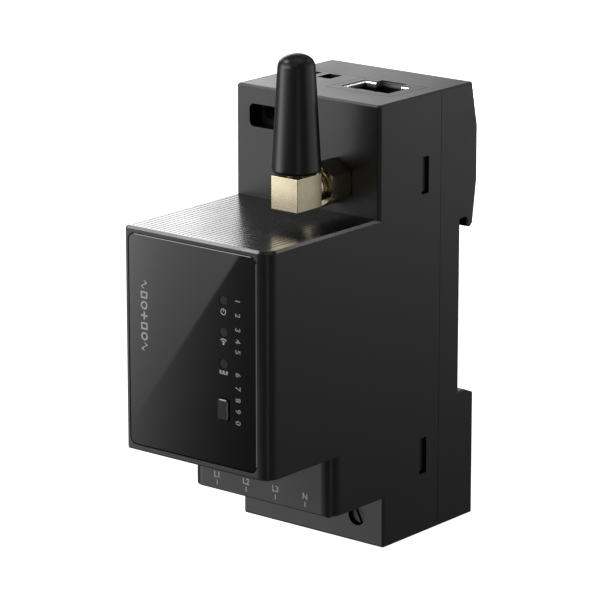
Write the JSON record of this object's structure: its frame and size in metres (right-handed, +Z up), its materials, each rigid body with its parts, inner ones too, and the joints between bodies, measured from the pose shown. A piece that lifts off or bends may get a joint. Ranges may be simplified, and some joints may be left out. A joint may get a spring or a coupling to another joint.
{
  "type": "smart electric meter",
  "caption": "Two-module rail-mounted electric meter: stepped dark housing, glossy indicator front, screw terminals, data socket on top and a small swivelling antenna.",
  "frame": {"origin": "middle of the flat face that rests on the 35 mm rail, at the rail's centre line", "axes": "+X right seen from the front, +Y towards the rail and the wall behind it, -Y to the front panel, +Z up along the antenna"},
  "size_m": [0.036, 0.066, 0.1038],
  "materials": {
    "housing_plastic": "satin charcoal moulded plastic",
    "clip_plastic": "satin black plastic",
    "panel_gloss": "high gloss black",
    "button_plastic": "gloss black",
    "light_pipe": "smoked translucent plastic, unlit",
    "lamp": "clear resin on white body",
    "switch_plastic": "matte black",
    "screw_zinc": "zinc plated",
    "cage_zinc": "zinc plated, stamped",
    "bar_copper": "tinned copper alloy strip",
    "connector_plastic": "matte black nylon",
    "shield_steel": "bright tin plated sheet",
    "contact_gold": "gold plated contacts",
    "antenna_brass": "bright pale gold plating",
    "antenna_rubber": "satin black elastomer",
    "board_laminate": "green solder mask on glass laminate",
    "transformer_tape": "yellow polyester tape over ferrite",
    "capacitor_sleeve": "printed shrink sleeve",
    "varistor_lacquer": "blue epoxy dip",
    "spring_steel": "bright spring wire"
  },
  "bodies": {
    "housing": {"front_housing": "housing_plastic", "rear_base": "housing_plastic", "front_panel": "panel_gloss", "light_pipe_1": "light_pipe", "light_pipe_2": "light_pipe", "light_pipe_3": "light_pipe", "led_1": "lamp", "led_2": "lamp", "led_3": "lamp", "tact_switch": "switch_plastic", "terminal_bar_1": "bar_copper", "terminal_bar_2": "bar_copper", "terminal_bar_3": "bar_copper", "terminal_bar_4": "bar_copper", "signal_bar_1": "bar_copper", "signal_bar_2": "bar_copper", "signal_block": "connector_plastic", "socket_body": "connector_plastic", "socket_shield": "shield_steel", "socket_contacts": "contact_gold", "antenna_jack": "antenna_brass", "main_board": "board_laminate", "board_screw_1": "screw_zinc", "board_screw_2": "screw_zinc", "front_board": "board_laminate", "riser_board": "board_laminate", "radio_board": "board_laminate", "front_header": "connector_plastic", "rear_header": "connector_plastic", "radio_header": "connector_plastic", "shield_can": "shield_steel", "metering_chip": "connector_plastic", "transformer": "transformer_tape", "bulk_capacitor": "capacitor_sleeve", "varistor_1": "varistor_lacquer", "varistor_2": "varistor_lacquer", "varistor_3": "varistor_lacquer", "clip_spring": "spring_steel"},
    "reset_button": {"reset_button": "button_plastic", "switch_plunger": "switch_plastic"},
    "rail_clip": {"rail_clip": "clip_plastic"},
    "antenna": {"antenna_elbow": "antenna_brass", "antenna_ring": "antenna_brass", "antenna_whip": "antenna_rubber"},
    "antenna_nut": {"antenna_nut": "antenna_brass"},
    "terminal_screw_1": {"terminal_screw_1": "screw_zinc"},
    "terminal_cage_1": {"terminal_cage_1": "cage_zinc"},
    "terminal_screw_2": {"terminal_screw_2": "screw_zinc"},
    "terminal_cage_2": {"terminal_cage_2": "cage_zinc"},
    "terminal_screw_3": {"terminal_screw_3": "screw_zinc"},
    "terminal_cage_3": {"terminal_cage_3": "cage_zinc"},
    "terminal_screw_4": {"terminal_screw_4": "screw_zinc"},
    "terminal_cage_4": {"terminal_cage_4": "cage_zinc"},
    "signal_screw_1": {"signal_screw_1": "screw_zinc"},
    "signal_cage_1": {"signal_cage_1": "cage_zinc"},
    "signal_screw_2": {"signal_screw_2": "screw_zinc"},
    "signal_cage_2": {"signal_cage_2": "cage_zinc"}
  },
  "joints": [
    {"name": "button_press", "type": "slide", "parent": "housing", "child": "reset_button", "axis": [0, 1, 0], "range_m": [0, 0.0004], "stiffness_N_per_m": 2500},
    {"name": "rail_clip_slide", "type": "slide", "parent": "housing", "child": "rail_clip", "axis": [0, 0, -1], "range_m": [0, 0.0035], "stiffness_N_per_m": 500, "deforming": ["clip_spring"]},
    {"name": "antenna_swivel", "type": "hinge", "parent": "housing", "child": "antenna", "pos_m": [0.0071, -0.0382, 0.02885], "axis": [0, 1, 0], "range_deg": [-90, 90]},
    {"name": "antenna_nut_turn", "type": "hinge", "parent": "housing", "child": "antenna_nut", "pos_m": [0.0071, -0.029, 0.02885], "axis": [0, 1, 0], "continuous": true},
    {"name": "terminal_screw_1_turn", "type": "hinge", "parent": "housing", "child": "terminal_screw_1", "pos_m": [-0.01125, -0.0236, -0.0395], "axis": [0, 1, 0], "range_deg": [0, 2450]},
    {"name": "terminal_cage_1_clamp", "type": "slide", "parent": "housing", "child": "terminal_cage_1", "axis": [0, -1, 0], "range_m": [0, 0.0034]},
    {"name": "terminal_screw_2_turn", "type": "hinge", "parent": "housing", "child": "terminal_screw_2", "pos_m": [-0.00375, -0.0236, -0.0395], "axis": [0, 1, 0], "range_deg": [0, 2450]},
    {"name": "terminal_cage_2_clamp", "type": "slide", "parent": "housing", "child": "terminal_cage_2", "axis": [0, -1, 0], "range_m": [0, 0.0034]},
    {"name": "terminal_screw_3_turn", "type": "hinge", "parent": "housing", "child": "terminal_screw_3", "pos_m": [0.00375, -0.0236, -0.0395], "axis": [0, 1, 0], "range_deg": [0, 2450]},
    {"name": "terminal_cage_3_clamp", "type": "slide", "parent": "housing", "child": "terminal_cage_3", "axis": [0, -1, 0], "range_m": [0, 0.0034]},
    {"name": "terminal_screw_4_turn", "type": "hinge", "parent": "housing", "child": "terminal_screw_4", "pos_m": [0.01125, -0.0236, -0.0395], "axis": [0, 1, 0], "range_deg": [0, 2450]},
    {"name": "terminal_cage_4_clamp", "type": "slide", "parent": "housing", "child": "terminal_cage_4", "axis": [0, -1, 0], "range_m": [0, 0.0034]},
    {"name": "signal_screw_1_turn", "type": "hinge", "parent": "housing", "child": "signal_screw_1", "pos_m": [-0.01254, -0.0214, 0.039], "axis": [0, 1, 0], "range_deg": [0, 1602]},
    {"name": "signal_cage_1_clamp", "type": "slide", "parent": "housing", "child": "signal_cage_1", "axis": [0, -1, 0], "range_m": [0, 0.002]},
    {"name": "signal_screw_2_turn", "type": "hinge", "parent": "housing", "child": "signal_screw_2", "pos_m": [-0.00746, -0.0214, 0.039], "axis": [0, 1, 0], "range_deg": [0, 1602]},
    {"name": "signal_cage_2_clamp", "type": "slide", "parent": "housing", "child": "signal_cage_2", "axis": [0, -1, 0], "range_m": [0, 0.002]}
  ],
  "couplings": [
    {"joint": "terminal_screw_1_turn", "follows": "terminal_cage_1_clamp", "rad_per_m": 12566},
    {"joint": "terminal_screw_2_turn", "follows": "terminal_cage_2_clamp", "rad_per_m": 12566},
    {"joint": "terminal_screw_3_turn", "follows": "terminal_cage_3_clamp", "rad_per_m": 12566},
    {"joint": "terminal_screw_4_turn", "follows": "terminal_cage_4_clamp", "rad_per_m": 12566},
    {"joint": "signal_screw_1_turn", "follows": "signal_cage_1_clamp", "rad_per_m": 13963},
    {"joint": "signal_screw_2_turn", "follows": "signal_cage_2_clamp", "rad_per_m": 13963}
  ]
}
